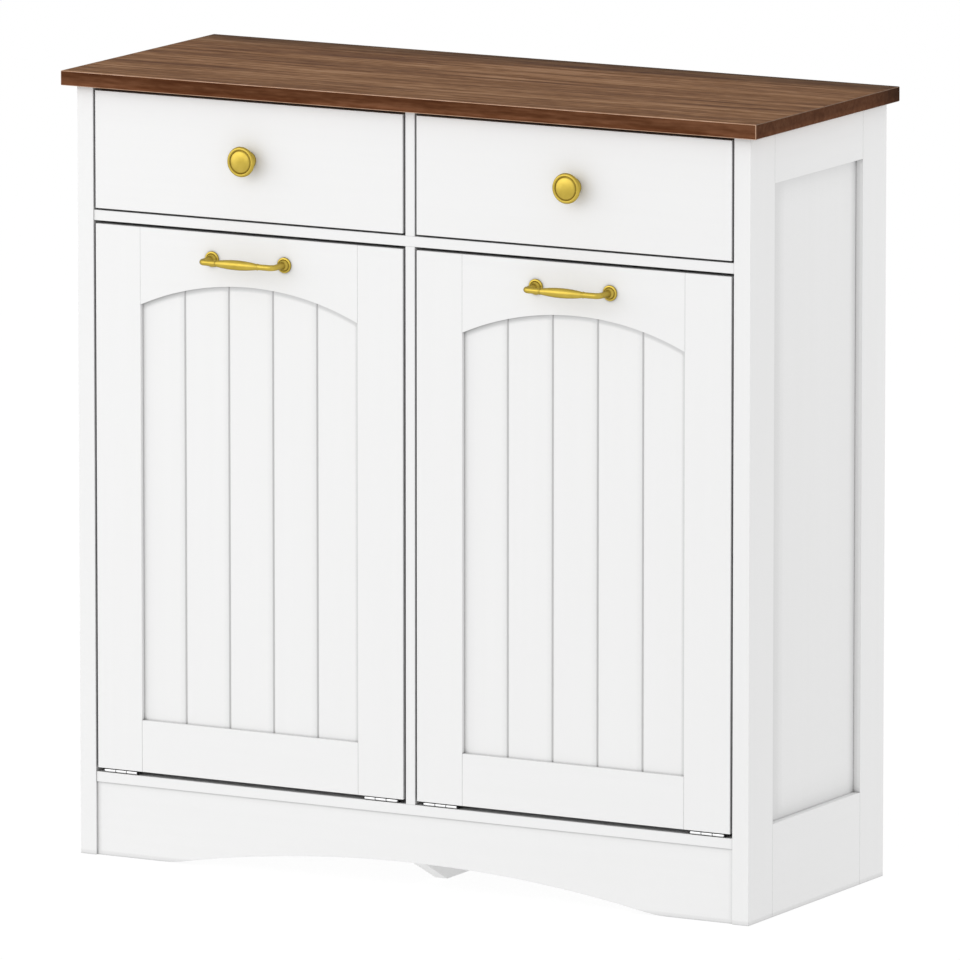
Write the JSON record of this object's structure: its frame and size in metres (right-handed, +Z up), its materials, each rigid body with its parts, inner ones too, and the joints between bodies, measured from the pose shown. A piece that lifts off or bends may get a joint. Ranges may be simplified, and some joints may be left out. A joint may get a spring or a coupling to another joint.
{
  "type": "tilt-out trash can cabinet",
  "caption": "Free-standing kitchen waste cabinet with arched beadboard tilt-out doors that carry bin racks, drawers above and a wood-look worktop.",
  "frame": {"origin": "on the floor, under the middle of the overall box of the cabinet", "axes": "+Z up, +X to the right of someone facing the doors, +Y from the doors to the back"},
  "size_m": [0.9, 0.3686, 0.914],
  "materials": {
    "white_paint": "satin white lacquer over lightly embossed board",
    "walnut_laminate": "satin walnut-look laminate",
    "satin_brass": "satin",
    "hinge_steel": "bright nickel plated",
    "slide_steel": "zinc plated",
    "screw_steel": "zinc plated",
    "plain_birch": "clear matt lacquer",
    "hardboard": "white-faced hardboard"
  },
  "bodies": {
    "carcass": {"top_board": "walnut_laminate", "left_front_stile": "white_paint", "left_rear_stile": "white_paint", "left_top_rail": "white_paint", "left_bottom_rail": "white_paint", "left_side_panel": "white_paint", "right_front_stile": "white_paint", "right_rear_stile": "white_paint", "right_top_rail": "white_paint", "right_bottom_rail": "white_paint", "right_side_panel": "white_paint", "upper_divider": "white_paint", "lower_divider": "white_paint", "middle_shelf": "white_paint", "bottom_board": "white_paint", "front_apron": "white_paint", "rear_rail": "white_paint", "center_foot": "white_paint", "back_panel": "hardboard", "frame_hinge_leaves": "hinge_steel", "hinge_pins": "hinge_steel", "carcass_fasteners": "screw_steel", "tilt_stop_blocks": "plain_birch", "slide_channels": "slide_steel"},
    "left_door": {"left_door_left_stile": "white_paint", "left_door_right_stile": "white_paint", "left_door_top_rail": "white_paint", "left_door_bottom_rail": "white_paint", "left_door_panel": "white_paint", "left_handle": "satin_brass", "left_door_screws": "screw_steel", "left_door_hinge_leaves": "hinge_steel", "left_rack_sides": "white_paint", "left_rack_floor": "white_paint", "left_rack_rail": "white_paint"},
    "right_door": {"right_door_left_stile": "white_paint", "right_door_right_stile": "white_paint", "right_door_top_rail": "white_paint", "right_door_bottom_rail": "white_paint", "right_door_panel": "white_paint", "right_handle": "satin_brass", "right_door_screws": "screw_steel", "right_door_hinge_leaves": "hinge_steel", "right_rack_sides": "white_paint", "right_rack_floor": "white_paint", "right_rack_rail": "white_paint"},
    "left_drawer": {"left_drawer_front": "white_paint", "left_drawer_sides": "plain_birch", "left_drawer_back": "plain_birch", "left_drawer_bottom": "plain_birch", "left_knob": "satin_brass", "left_knob_screw": "screw_steel", "left_slide_runners": "slide_steel"},
    "right_drawer": {"right_drawer_front": "white_paint", "right_drawer_sides": "plain_birch", "right_drawer_back": "plain_birch", "right_drawer_bottom": "plain_birch", "right_knob": "satin_brass", "right_knob_screw": "screw_steel", "right_slide_runners": "slide_steel"}
  },
  "joints": [
    {"name": "left_door_tilt", "type": "hinge", "parent": "carcass", "child": "left_door", "pos_m": [-0.21075, -0.14935, 0.1005], "axis": [1, 0, 0], "range_deg": [0, 33]},
    {"name": "left_drawer_slide", "type": "slide", "parent": "carcass", "child": "left_drawer", "axis": [0, -1, 0], "range_m": [0, 0.2]},
    {"name": "right_door_tilt", "type": "hinge", "parent": "carcass", "child": "right_door", "pos_m": [0.21075, -0.14935, 0.1005], "axis": [1, 0, 0], "range_deg": [0, 33]},
    {"name": "right_drawer_slide", "type": "slide", "parent": "carcass", "child": "right_drawer", "axis": [0, -1, 0], "range_m": [0, 0.2]}
  ]
}
